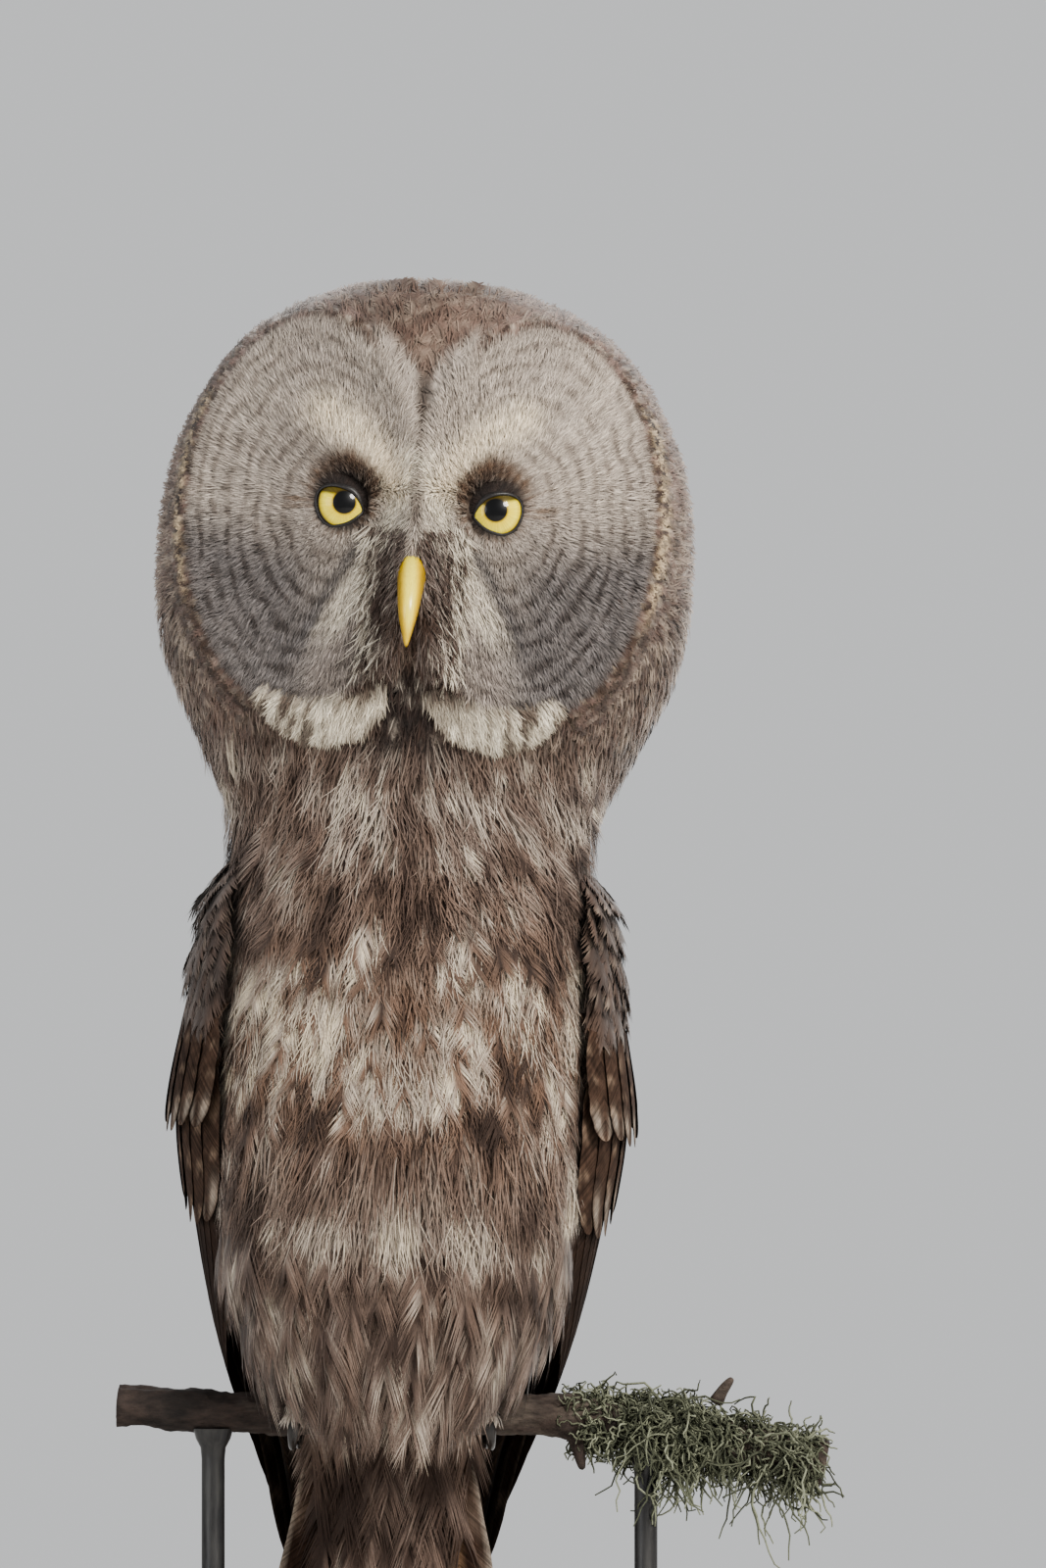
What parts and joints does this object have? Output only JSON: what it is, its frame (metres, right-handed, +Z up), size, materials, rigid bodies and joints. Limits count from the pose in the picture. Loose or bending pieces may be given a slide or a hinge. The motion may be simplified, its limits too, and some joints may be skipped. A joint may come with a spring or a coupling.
{
  "type": "great grey owl model",
  "caption": "Life-size great grey owl standing upright on a short cut branch, held over a flat base by two rods, looking straight ahead.",
  "frame": {"origin": "centre of the stand's flat underside", "axes": "+Z up, the owl faces -Y, +X is the owl's left side, which is on the right as seen from the front"},
  "size_m": [0.2716, 0.19, 0.6656],
  "materials": {
    "plumage": "soft body feathers, grey-brown mottled with cream",
    "face": "fine pale grey disc feathers barred with dark brown",
    "flight_feather": "smooth dark brown vanes barred and edged pale",
    "iris": "glossy glass-like yellow eye with a black pupil",
    "bill": "satin yellow horn",
    "claw": "satin blackish horn",
    "bark": "rough dark bark with grey-green lichen",
    "base_wood": "dark satin wood",
    "rod": "satin black"
  },
  "bodies": {
    "root": {"head": "face", "neck": "plumage", "torso": "plumage", "eye_left": "iris", "eye_right": "iris", "bill_upper": "bill", "bill_lower": "bill", "wing_left": "flight_feather", "wing_right": "flight_feather", "tail": "flight_feather", "leg_left": "plumage", "leg_right": "plumage", "foot_left": "plumage", "foot_right": "plumage", "perch": "bark", "stand_base": "base_wood", "stand_rod_left": "rod", "stand_rod_right": "rod", "claw_left_inner_front": "claw", "claw_left_outer_front": "claw", "claw_left_inner_back": "claw", "claw_left_outer_back": "claw", "claw_right_inner_front": "claw", "claw_right_outer_front": "claw", "claw_right_inner_back": "claw", "claw_right_outer_back": "claw"}
  },
  "joints": []
}
